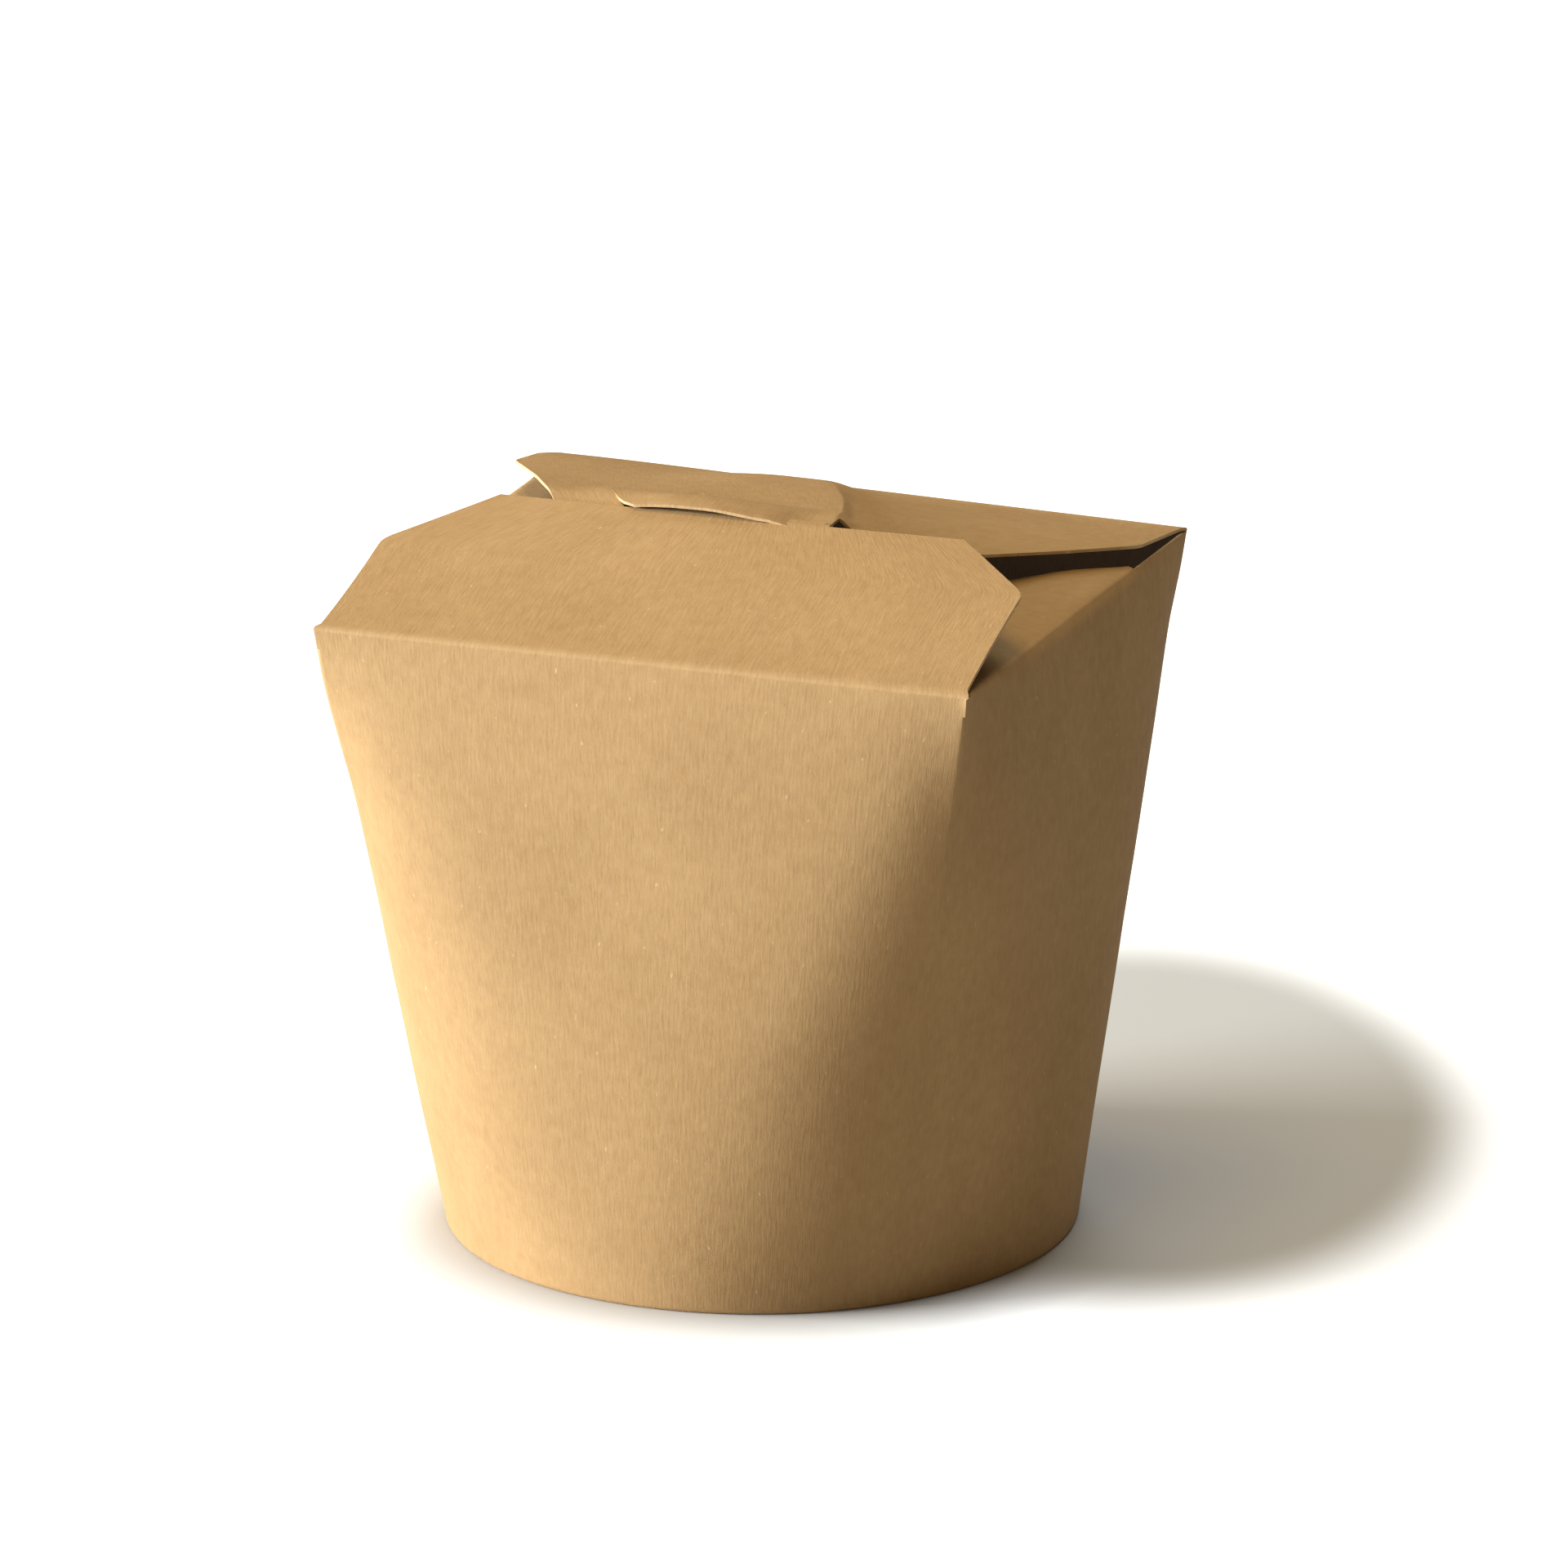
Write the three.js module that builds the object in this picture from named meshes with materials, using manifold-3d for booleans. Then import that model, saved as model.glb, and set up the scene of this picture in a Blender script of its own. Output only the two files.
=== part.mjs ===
// Noodle takeaway box of plain brown board, round at the foot and square at the top, with its lid shut.
// Millimetres, +Z up, front wall towards -Y, origin at the middle of the foot.

import * as THREE from 'three';
import { ConvexGeometry } from 'three/addons/geometries/ConvexGeometry.js';
import { mergeVertices } from 'three/addons/utils/BufferGeometryUtils.js';
import Module from 'manifold-3d';

// Pail: the wall runs from a round foot to a rectangle of four fold lines
const TOP_WIDTH = 98;
const TOP_DEPTH = 90.5;
const FOLD_HEIGHT = 95;
const FOOT_RADIUS = 46;
const CORNER_LIFT = 2.1;
const FOOT_SEGMENTS = 96;
const BOARD = 0.45;
const SIDE_BEND = 6;
const CREASE_POWER = 5;
const HALF_SIDE_STEPS = 12;
const WALL_LEVELS = [0.12, 0.28, 0.45, 0.62, 0.76, 0.88, 0.96];

// Foot: three layers of board make the rim, and the base disc sits up inside it
const RIM_WIDTH = 3 * BOARD;
const RECESS_DEPTH = 6;
const DISC_THICKNESS = 2 * BOARD;
const CLEARANCE = 0.3;

// Lid: every length runs level from the fold line that the flap hangs on
const FLAP_INSET = 0.6;
const FRONT_FLAP_REACH = 35.3;
const FRONT_FLAP_SIDE = 23.3;
const FRONT_FLAP_FAR_HALF = 35.2;
const FRONT_FLAP_SLOPE = THREE.MathUtils.degToRad(18);
const FRONT_FLAP_WARP = 0.8;
const BACK_FLAP_REACH = 55.9;
const BACK_FLAP_SIDE = 18.4;
const LIP_HALF = 17;
const LIP_CENTRE = -2;
const BACK_EDGE_RISE_LEFT = 0.21;
const BACK_EDGE_RISE_RIGHT = 0.122;
const BACK_CROWN_RISE = 0.31;
const LIP_OVERLAP = 0.9;
const SIDE_FLAP_REACH = 30;
const SIDE_FLAP_TAPER = 14;
const SIDE_FLAP_BACK_GAP = 21;
const SIDE_FLAP_FRONT_GAP = 1.5;

// Filling under the lid: the shut box is closed and solid, set back from the flap edges
const FILL_SET_BACK = 8;
const FILL_SINK = 1;
const SLAB_COLUMNS = 14;
const SLAB_ROWS = 12;
const SAME_POINT = 1e-4;

const halfWidth = TOP_WIDTH / 2;
const halfDepth = TOP_DEPTH / 2;
const flapHalf = halfWidth - FLAP_INSET;

const wasm = await Module();
wasm.setup();

// A closed geometry becomes a solid that can be joined and cut
function toSolid(geometry) {
  const bare = geometry.clone();
  bare.deleteAttribute('normal');
  bare.deleteAttribute('uv');
  const merged = mergeVertices(bare, SAME_POINT);
  return new wasm.Manifold(new wasm.Mesh({
    numProp: 3,
    vertProperties: Float32Array.from(merged.attributes.position.array),
    triVerts: Uint32Array.from(merged.index.array),
  }));
}

// A solid becomes a named mesh in its own material
function toMesh(solid, name, material) {
  const { vertProperties, triVerts } = solid.getMesh();
  const geometry = new THREE.BufferGeometry();
  geometry.setAttribute('position', new THREE.BufferAttribute(Float32Array.from(vertProperties), 3));
  geometry.setIndex(new THREE.BufferAttribute(Uint32Array.from(triVerts), 1));
  geometry.computeVertexNormals();
  const mesh = new THREE.Mesh(geometry, material);
  mesh.name = name;
  return mesh;
}

function cylinderUp(radius, low, high, segments) {
  const geometry = new THREE.CylinderGeometry(radius, radius, high - low, segments);
  geometry.rotateX(Math.PI / 2);
  geometry.translate(0, 0, (low + high) / 2);
  return geometry;
}

// Height of the back fold line above the other folds: the back left corner is sprung up
function backFoldHeight(x) {
  return CORNER_LIFT * (halfWidth - x) / TOP_WIDTH;
}

function leftFoldHeight(y) {
  return CORNER_LIFT * (y + halfDepth) / TOP_DEPTH;
}

// Top face of the front flap, at x across and run from the front fold
function frontFlapHeight(x, run) {
  const along = run / FRONT_FLAP_REACH;
  const bow = 1 - (2 * along - 1) ** 2;
  return run * Math.tan(FRONT_FLAP_SLOPE) + FRONT_FLAP_WARP * bow * x / flapHalf;
}

function frontFlapHalf(run) {
  if (run <= FRONT_FLAP_SIDE) return flapHalf;
  const along = (run - FRONT_FLAP_SIDE) / (FRONT_FLAP_REACH - FRONT_FLAP_SIDE);
  return THREE.MathUtils.lerp(flapHalf, FRONT_FLAP_FAR_HALF, along);
}

const lipHeight = frontFlapHeight(0, FRONT_FLAP_REACH) + BOARD + LIP_OVERLAP;

function backFlapEnds(run) {
  const along = Math.max(0, (run - BACK_FLAP_SIDE) / (BACK_FLAP_REACH - BACK_FLAP_SIDE));
  return {
    left: THREE.MathUtils.lerp(-flapHalf, LIP_CENTRE - LIP_HALF, along),
    right: THREE.MathUtils.lerp(flapHalf, LIP_CENTRE + LIP_HALF, along),
  };
}

// Top face of the back flap: crowned along the middle, lower at both cut edges, level at the lip
function backFlapHeight(x, run) {
  const crownDrop = (BACK_CROWN_RISE * BACK_FLAP_REACH + backFoldHeight(0) - lipHeight)
    / (BACK_FLAP_REACH * BACK_FLAP_REACH);
  const crown = BACK_CROWN_RISE * run - crownDrop * run * run;
  const edgeRise = x < 0 ? BACK_EDGE_RISE_LEFT : BACK_EDGE_RISE_RIGHT;
  const toEdge = Math.min(1, Math.abs(x) / flapHalf);
  const settle = Math.max(0, (run - BACK_FLAP_SIDE) / (BACK_FLAP_REACH - BACK_FLAP_SIDE));
  const edge = THREE.MathUtils.lerp(edgeRise * run, crown, settle * settle);
  const rise = THREE.MathUtils.lerp(crown, edge, Math.sqrt(toEdge) * (1 - settle) + toEdge * settle);
  return backFoldHeight(x * (1 - settle)) + rise;
}

// A slab between two surfaces over a plan outline: ends(run) gives its left and right limits,
// place(x, run) its plan point, and the rows fall on the outline's corner at cornerRun.
// A placement that mirrors the slab would turn it inside out, so mirrored turns its faces back
function bentSlab({ reach, cornerRun, ends, place, mirrored = false, top, bottom }) {
  const geometry = new THREE.BoxGeometry(1, 1, 1, SLAB_COLUMNS, SLAB_ROWS, 1);
  const point = geometry.attributes.position;
  const half = SLAB_ROWS / 2;
  for (let i = 0; i < point.count; i += 1) {
    const row = Math.round((point.getY(i) + 0.5) * SLAB_ROWS);
    const run = row <= half
      ? cornerRun * row / half
      : THREE.MathUtils.lerp(cornerRun, reach, (row - half) / half);
    const { left, right } = ends(run);
    const x = THREE.MathUtils.lerp(left, right, point.getX(i) + 0.5);
    const height = point.getZ(i) > 0 ? top(x, run) : bottom(x, run);
    const { across, deep } = place(x, run);
    point.setXYZ(i, across, deep, FOLD_HEIGHT + height);
  }
  if (mirrored) turnFaces(geometry);
  return geometry;
}

function turnFaces(geometry) {
  const index = geometry.index;
  for (let i = 0; i < index.count; i += 3) {
    const second = index.getX(i + 1);
    index.setX(i + 1, index.getX(i + 2));
    index.setX(i + 2, second);
  }
}

// The filling under a flap ends short of the flap's own cut edges
function setBack(ends) {
  return (run) => ({ left: ends(run).left + FILL_SET_BACK, right: ends(run).right - FILL_SET_BACK });
}

const fromFront = (x, run) => ({ across: x, deep: -halfDepth + run });
const fromBack = (x, run) => ({ across: x, deep: halfDepth - run });

// Outline from the middle of a side to its corner: flat at first, then turning more and more
function halfSide(flat, radius, endAngle) {
  const length = flat + radius * Math.PI / 4;
  const stride = length / HALF_SIDE_STEPS;
  const soft = (distance) => SIDE_BEND * Math.log1p(Math.exp(distance / SIDE_BEND));
  const turned = (distance) => soft(distance - flat) - soft(-distance - flat);
  const walk = [{ along: 0, inward: 0 }];
  for (let step = 0; step < HALF_SIDE_STEPS; step += 1) {
    const angle = endAngle * turned(stride * (step + 0.5)) / turned(length);
    const { along, inward } = walk[step];
    walk.push({ along: along + stride * Math.cos(angle), inward: inward + stride * Math.sin(angle) });
  }
  return walk;
}

// A quarter of the wall's outline at a level between the foot and the fold lines: its corner is
// round low down and a crease near the top
function quarterOutline(level) {
  const endAngle = Math.PI / 4 * (1 - level ** CREASE_POWER);
  const radius = (1 - level) * FOOT_RADIUS;
  const front = halfSide(level * halfWidth, radius, endAngle);
  const side = halfSide(level * halfDepth, radius, endAngle);
  const frontOut = side.at(-1).along + front.at(-1).inward;
  const sideOut = front.at(-1).along + side.at(-1).inward;
  return [
    ...front.map(({ along, inward }) => [along, frontOut - inward]),
    ...side.slice(0, -1).map(({ along, inward }) => [sideOut - inward, along]),
  ];
}

// Pail: from the round foot to the four top corners
function makePail() {
  const points = [];
  for (let i = 0; i < FOOT_SEGMENTS; i += 1) {
    const angle = 2 * Math.PI * i / FOOT_SEGMENTS;
    points.push(new THREE.Vector3(FOOT_RADIUS * Math.cos(angle), FOOT_RADIUS * Math.sin(angle), 0));
  }
  for (const [sideX, sideY] of [[-1, -1], [1, -1], [1, 1], [-1, 1]]) {
    for (const level of WALL_LEVELS) {
      for (const [across, deep] of quarterOutline(level)) {
        points.push(new THREE.Vector3(sideX * across, sideY * deep, level * FOLD_HEIGHT));
      }
    }
    const lift = sideX < 0 && sideY > 0 ? CORNER_LIFT : 0;
    points.push(new THREE.Vector3(sideX * halfWidth, sideY * halfDepth, FOLD_HEIGHT + lift));
  }
  const recess = cylinderUp(FOOT_RADIUS - RIM_WIDTH, -RECESS_DEPTH, RECESS_DEPTH, FOOT_SEGMENTS);
  return toSolid(new ConvexGeometry(points)).subtract(toSolid(recess));
}

function makeFrontFlap() {
  const ends = (run) => ({ left: -frontFlapHalf(run), right: frontFlapHalf(run) });
  const shared = { reach: FRONT_FLAP_REACH, cornerRun: FRONT_FLAP_SIDE, place: fromFront };
  const board = bentSlab({
    ...shared,
    ends,
    top: frontFlapHeight,
    bottom: (x, run) => frontFlapHeight(x, run) - BOARD,
  });
  const fill = bentSlab({
    ...shared,
    ends: setBack(ends),
    top: (x, run) => frontFlapHeight(x, run) - BOARD / 2,
    bottom: () => -FILL_SINK,
  });
  return toSolid(board).add(toSolid(fill));
}

function makeBackFlap() {
  const shared = { reach: BACK_FLAP_REACH, cornerRun: BACK_FLAP_SIDE, place: fromBack, mirrored: true };
  const board = bentSlab({
    ...shared,
    ends: backFlapEnds,
    top: backFlapHeight,
    bottom: (x, run) => backFlapHeight(x, run) - BOARD,
  });
  const fill = bentSlab({
    ...shared,
    ends: setBack(backFlapEnds),
    top: (x, run) => backFlapHeight(x, run) - BOARD / 2,
    bottom: () => -FILL_SINK,
  });
  return toSolid(board).add(toSolid(fill));
}

// Side flap: folded in under the other two, cut away towards the back corner
function makeSideFlap(side) {
  const frontEnd = -halfDepth + SIDE_FLAP_FRONT_GAP;
  const backEnd = halfDepth - SIDE_FLAP_BACK_GAP;
  const lying = (y) => (side < 0 ? leftFoldHeight(y) : 0) + BOARD;
  const board = bentSlab({
    reach: SIDE_FLAP_REACH,
    cornerRun: SIDE_FLAP_TAPER,
    ends: (run) => ({
      left: frontEnd + Math.min(run, SIDE_FLAP_TAPER),
      right: backEnd - Math.min(run, SIDE_FLAP_TAPER),
    }),
    place: (y, run) => ({ across: side * (halfWidth - FLAP_INSET / 2 - run), deep: y }),
    mirrored: side < 0,
    top: lying,
    bottom: (y) => lying(y) - FILL_SINK - 2 * BOARD,
  });
  return toSolid(board);
}

const kraftBoard = new THREE.MeshStandardMaterial({ color: 0xb8905f, roughness: 0.85, metalness: 0 });
const innerBoard = new THREE.MeshStandardMaterial({ color: 0xa98256, roughness: 0.7, metalness: 0 });

const carton = [makeFrontFlap(), makeBackFlap(), makeSideFlap(-1), makeSideFlap(1)]
  .reduce((whole, piece) => whole.add(piece), makePail());

const discTop = RECESS_DEPTH - CLEARANCE;
const discRadius = FOOT_RADIUS - RIM_WIDTH - CLEARANCE;
const baseDisc = toSolid(cylinderUp(discRadius, discTop - DISC_THICKNESS, discTop, FOOT_SEGMENTS));

const noodleBox = new THREE.Group();
noodleBox.add(toMesh(carton, 'carton', kraftBoard));
noodleBox.add(toMesh(baseDisc, 'base_disc', innerBoard));

export default noodleBox;
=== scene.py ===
"""Noodle takeaway box of plain brown board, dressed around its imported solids.

The box is one creased blank: a wall that runs from a round foot to a square top, two side flaps
folded in, the front flap over them, and the back flap, whose lip lies on the front flap. Metres, in
the frame of the solids: +Z up, the front wall towards -Y, origin at the middle of the foot.
"""

import logging
import math
from collections.abc import Sequence
from dataclasses import dataclass
from enum import Enum
from functools import lru_cache

import bmesh
import bpy
from mathutils import Matrix, Vector, noise


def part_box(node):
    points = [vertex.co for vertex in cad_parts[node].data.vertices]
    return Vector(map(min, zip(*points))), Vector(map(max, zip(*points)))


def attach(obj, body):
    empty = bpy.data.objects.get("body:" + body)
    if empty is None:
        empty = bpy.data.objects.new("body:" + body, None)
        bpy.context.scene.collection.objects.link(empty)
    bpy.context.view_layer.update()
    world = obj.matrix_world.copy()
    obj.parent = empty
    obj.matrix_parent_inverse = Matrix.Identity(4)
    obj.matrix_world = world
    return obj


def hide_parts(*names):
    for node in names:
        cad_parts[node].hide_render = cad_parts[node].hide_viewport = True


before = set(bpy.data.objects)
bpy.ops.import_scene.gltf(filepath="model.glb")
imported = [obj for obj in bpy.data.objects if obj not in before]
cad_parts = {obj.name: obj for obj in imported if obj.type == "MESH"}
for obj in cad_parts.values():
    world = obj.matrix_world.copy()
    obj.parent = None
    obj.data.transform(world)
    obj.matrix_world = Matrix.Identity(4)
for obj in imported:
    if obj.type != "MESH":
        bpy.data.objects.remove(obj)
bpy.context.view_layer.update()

LOG = logging.getLogger("noodle_box")
MM = 0.001
PHOTO_SIDE = 1920.0
SENSOR = 36.0

Object = bpy.types.Object
Node = bpy.types.Node
Socket = bpy.types.NodeSocket
Materials = Sequence[bpy.types.Material]
Row = list[bmesh.types.BMVert]
Span = tuple[float, ...]
Triple = tuple[float, float, float]
Pairs = Sequence[tuple[float, float]]
Given = Socket | float | Span
Inputs = dict[str | int, Given]
Walk = tuple[list[Triple], float]


def mix(start: float, end: float, share: float) -> float:
    """Return the value that lies share of the way from start to end."""
    return start + (end - start) * share


def clamp(value: float) -> float:
    """Return value held between nought and one."""
    return max(0.0, min(1.0, value))


def ease(low: float, high: float, value: float) -> float:
    """Rise smoothly from nought to one.

    Args:
        low: Where the rise starts.
        high: Where the rise ends; below low, the result falls instead.
        value: The place to read it at.

    Returns:
        A share between nought and one.
    """
    share = clamp((value - low) / (high - low))
    return share * share * (3.0 - 2.0 * share)


def soft_least(first: float, second: float, width: float) -> float:
    """Return the smaller of two values, with the corner between them rounded over width."""
    share = clamp(0.5 + 0.5 * (second - first) / width)
    return mix(second, first, share) - width * share * (1.0 - share)


def ripple(x: float, y: float, z: float, scale: float) -> float:
    """Return smooth noise between about -1 and 1, with features of the given size."""
    return noise.noise(Vector((x, y, z)) / scale)


def mm(*values: float) -> Span:
    """Return values that are given in millimetres in metres."""
    return tuple(value * MM for value in values)


def steps(count: int) -> list[float]:
    """Return the share of the way after each of count equal steps."""
    return [step / count for step in range(1, count + 1)]


def shifted(flat: Pairs, run: float) -> list[tuple[float, float]]:
    """Return places on the flat blank moved on by a run."""
    return [(u, v + run) for u, v in flat]


def polyline(points: Pairs, at: float) -> float:
    """Read a line of a few points.

    Args:
        points: Pairs of place and value in millimetres, in rising order of place.
        at: The place to read, in metres.

    Returns:
        The value there in metres, held at both ends.
    """
    at /= MM
    for (low, start), (high, end) in zip(points, points[1:]):
        if at <= high:
            return mix(start, end, clamp((at - low) / (high - low))) * MM
    return points[-1][1] * MM


class Slot(Enum):
    """The record's material slots."""

    BOARD = "kraft_board"
    BASE = "base_board"


class Face(Enum):
    """Where each finish sits in the blank's list of materials."""

    OUTSIDE = 0
    INSIDE = 1
    CUT = 2


# Finishes


def feed(node: Node, inputs: Inputs) -> None:
    """Set a node's inputs, or join other nodes' outputs to them.

    Args:
        node: The node.
        inputs: Values or outputs, by the input's name or number.
    """
    for socket, value in inputs.items():
        if isinstance(value, Socket):
            node.id_data.links.new(value, node.inputs[socket])
        else:
            node.inputs[socket].default_value = value


def add_node(tree: bpy.types.NodeTree, kind: str, inputs: Inputs, **settings: object) -> Node:
    """Add a shader node.

    Args:
        tree: The node tree.
        kind: Its Blender type name.
        inputs: Values or outputs for its inputs.
        **settings: The node's own settings.

    Returns:
        The new node.
    """
    node = tree.nodes.new(kind)
    for name, value in settings.items():
        setattr(node, name, value)
    feed(node, inputs)
    return node


def times(first: Socket, second: Given) -> Socket:
    """Multiply a value by another socket or number."""
    inputs = {0: first, 1: second}
    return add_node(first.id_data, "ShaderNodeMath", inputs, operation="MULTIPLY").outputs[0]


def plus(first: Socket, second: Given) -> Socket:
    """Add another socket or number to a value."""
    inputs = {0: first, 1: second}
    return add_node(first.id_data, "ShaderNodeMath", inputs, operation="ADD").outputs[0]


def length(vector: Socket) -> Socket:
    """Return the length of a vector."""
    node = add_node(vector.id_data, "ShaderNodeVectorMath", {0: vector}, operation="LENGTH")
    return node.outputs["Value"]


def ramp(value: Socket, edge: tuple[float, float], kind: str = "LINEAR") -> Socket:
    """Stretch the values between an edge's low and high end to nought to one.

    Args:
        value: The value.
        edge: The low and the high end.
        kind: How the result runs between them.

    Returns:
        The result, held at both ends.
    """
    inputs = {"Value": value, "From Min": edge[0], "From Max": edge[1]}
    node = add_node(value.id_data, "ShaderNodeMapRange", inputs, interpolation_type=kind)
    return node.outputs["Result"]


def blend(share: Socket, first: Given, second: Given) -> Socket:
    """Mix two colours.

    Args:
        share: How much of the second colour to take.
        first: A colour or an output that gives one.
        second: Another.

    Returns:
        The mixed colour.
    """
    inputs = {"Factor": share, 6: first, 7: second}
    node = add_node(share.id_data, "ShaderNodeMix", inputs, data_type="RGBA", clamp_factor=True)
    return node.outputs[2]


def new_material(name: str, inputs: Inputs) -> tuple[bpy.types.Material, Node]:
    """Make a material.

    Args:
        name: Its name.
        inputs: Values for its Principled shader.

    Returns:
        The material and that shader.
    """
    material = bpy.data.materials.new(name)
    material.use_nodes = True
    shader = material.node_tree.nodes["Principled BSDF"]
    feed(shader, inputs)
    return material, shader


class BoardGrain:
    """The node group of brown board: clouds, fibres along the blank, and light and dark flecks."""

    NAME = "board_grain"

    def __init__(self) -> None:
        """Build the group's tree once."""
        self.tree = bpy.data.node_groups.new(self.NAME, "ShaderNodeTree")
        face = self.tree.interface
        face.new_socket("Vector", in_out="INPUT", socket_type="NodeSocketVector")
        for name in ("Base", "Dark", "Light"):
            face.new_socket(name, in_out="INPUT", socket_type="NodeSocketColor")
        for name in ("Cloud", "Fibre", "Fleck"):
            face.new_socket(name, in_out="INPUT", socket_type="NodeSocketFloat")
        face.new_socket("Color", in_out="OUTPUT", socket_type="NodeSocketColor")
        face.new_socket("Height", in_out="OUTPUT", socket_type="NodeSocketFloat")
        self.given = self.tree.nodes.new("NodeGroupInput").outputs
        self.result = self.tree.nodes.new("NodeGroupOutput")
        self.wire()

    def noise(self, scale: tuple[float, float], detail: float, roughness: float) -> Socket:
        """Add fractal noise over the board's flat coordinates.

        Args:
            scale: Its scale round the box, and up the wall and over the flaps.
            detail: How many times finer noise is laid over it.
            roughness: How strong the finer noise is.

        Returns:
            Its value.
        """
        inputs = {"Vector": self.given["Vector"], "Scale": (*scale, 1.0)}
        stretched = add_node(self.tree, "ShaderNodeMapping", inputs).outputs["Vector"]
        inputs = {"Vector": stretched, "Scale": 1.0, "Detail": detail, "Roughness": roughness}
        return add_node(self.tree, "ShaderNodeTexNoise", inputs, noise_dimensions="3D").outputs["Fac"]

    def wire(self) -> None:
        """Join the clouds, fibres and flecks to the outputs."""
        given = self.given
        broad = ramp(self.noise((55.0, 42.0), 3.0, 0.55), (0.36, 0.66))
        cloud = ramp(self.noise((520.0, 430.0), 5.0, 0.62), (0.34, 0.68))
        fibre = ramp(self.noise((2600.0, 330.0), 3.0, 0.6), (0.34, 0.66))
        grain = self.noise((5200.0, 4300.0), 3.0, 0.6)
        pale_fleck = ramp(self.noise((1500.0, 620.0), 1.5, 0.4), (0.735, 0.79))
        dark_fleck = ramp(self.noise((1150.0, 1550.0), 2.0, 0.45), (0.745, 0.80))
        tone = plus(times(broad, 0.45), times(cloud, 0.55))
        colour = blend(times(tone, given["Cloud"]), given["Base"], given["Dark"])
        colour = blend(times(fibre, given["Fibre"]), colour, given["Light"])
        colour = blend(times(pale_fleck, given["Fleck"]), colour, given["Light"])
        colour = blend(times(dark_fleck, given["Fleck"]), colour, given["Dark"])
        height = plus(times(fibre, 0.45), times(grain, 0.35))
        feed(self.result, {"Color": colour, "Height": plus(height, times(cloud, 0.5))})


@dataclass(frozen=True)
class BoardFinish:
    """A finish of brown board, in linear colours."""

    name: str
    base: Triple
    dark: Triple
    light: Triple
    cloud: float = 0.75
    fibre: float = 0.16
    fleck: float = 0.8
    roughness: float = 0.72
    relief: float = 0.035 * MM
    # Pale colour laid along folds and creases: partly real rubbing wear, partly a painted highlight.
    wear_highlight: Triple = (0.72, 0.50, 0.27)
    wear_highlight_share: float = 0.24
    gloss: float = 0.3

    def build(self, grain: BoardGrain) -> bpy.types.Material:
        """Make the material.

        Args:
            grain: The shared group that draws the board's grain.

        Returns:
            The new material.
        """
        inputs = {"Roughness": self.roughness, "Specular IOR Level": self.gloss}
        material, shader = new_material(self.name, inputs)
        tree = material.node_tree
        inputs = {
            "Vector": add_node(tree, "ShaderNodeUVMap", {}, uv_map="flat").outputs["UV"],
            "Base": (*self.base, 1.0),
            "Dark": (*self.dark, 1.0),
            "Light": (*self.light, 1.0),
            "Cloud": self.cloud,
            "Fibre": self.fibre,
            "Fleck": self.fleck,
        }
        board = add_node(tree, "ShaderNodeGroup", inputs, node_tree=grain.tree).outputs
        # Painted highlight and wear: the pale colour is blended in by the per-point rub share.
        rub_and_highlight = add_node(tree, "ShaderNodeAttribute", {}, attribute_name="rub_and_highlight").outputs["Fac"]
        worn_and_lit = blend(times(rub_and_highlight, self.wear_highlight_share), board["Color"], (*self.wear_highlight, 1.0))
        inputs = {"Strength": 1.0, "Distance": self.relief, "Height": board["Height"]}
        bump = add_node(tree, "ShaderNodeBump", inputs).outputs["Normal"]
        feed(shader, {"Base Color": worn_and_lit, "Normal": bump})
        return material


OUTER_BOARD = BoardFinish(
    "kraft_outside", (0.535, 0.330, 0.146), (0.400, 0.232, 0.094), (0.690, 0.490, 0.290)
)
# Painted shade: the inside faces are far darker than the outside board, standing in for the shade in the
# hollow under the lid.
SHADED_INNER_BOARD = BoardFinish(
    "kraft_inside_painted_shade", (0.110, 0.056, 0.021), (0.080, 0.040, 0.015), (0.170, 0.100, 0.046)
)
CUT_BOARD = BoardFinish(
    "kraft_cut_edge",
    (0.640, 0.440, 0.235),
    (0.460, 0.295, 0.140),
    (0.800, 0.620, 0.390),
    cloud=0.5,
    fibre=0.4,
    roughness=0.95,
    relief=0.08 * MM,
)
BASE_BOARD = BoardFinish(
    "base_board", (0.455, 0.278, 0.118), (0.330, 0.190, 0.076), (0.600, 0.400, 0.200)
)


# The blank


def add_piece(mesh: bmesh.types.BMesh, name: str, materials: Materials) -> Object:
    """Turn a finished mesh into an object of the scene.

    Args:
        mesh: The mesh, which is freed.
        name: The object's name.
        materials: Its materials in order.

    Returns:
        The object.
    """
    data = bpy.data.meshes.new(name)
    mesh.to_mesh(data)
    mesh.free()
    for material in materials:
        data.materials.append(material)
    piece = bpy.data.objects.new(name, data)
    bpy.context.scene.collection.objects.link(piece)
    return piece


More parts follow.
